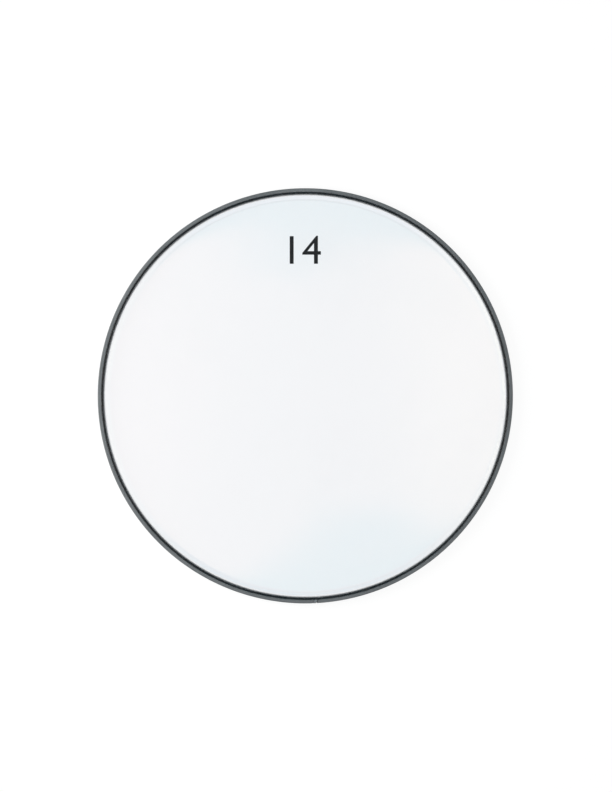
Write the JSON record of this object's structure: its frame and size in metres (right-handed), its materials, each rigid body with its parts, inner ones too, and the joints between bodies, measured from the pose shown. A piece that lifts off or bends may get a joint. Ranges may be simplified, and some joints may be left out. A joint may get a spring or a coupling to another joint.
{
  "type": "drum head",
  "caption": "Clear single-ply drum head: a film with a formed collar, bonded with black resin into a rolled metal channel hoop, that closes and sounds a drum shell.",
  "frame": {"origin": "centre of the hoop's flat underside", "axes": "+Z along the head's axis, out of the playing face; the hoop's joint is near -Y"},
  "size_m": [0.37, 0.37, 0.018],
  "materials": {
    "hoop": "dark grey satin coat on rolled aluminium channel",
    "splice": "dressed joint, dark grey satin",
    "film": "clear glossy polyester film, a little blue",
    "resin": "black casting resin, glossy, with a sagging top"
  },
  "bodies": {
    "root": {"hoop_channel": "hoop", "hoop_splice": "splice", "film": "film", "resin_fill": "resin"}
  },
  "joints": []
}
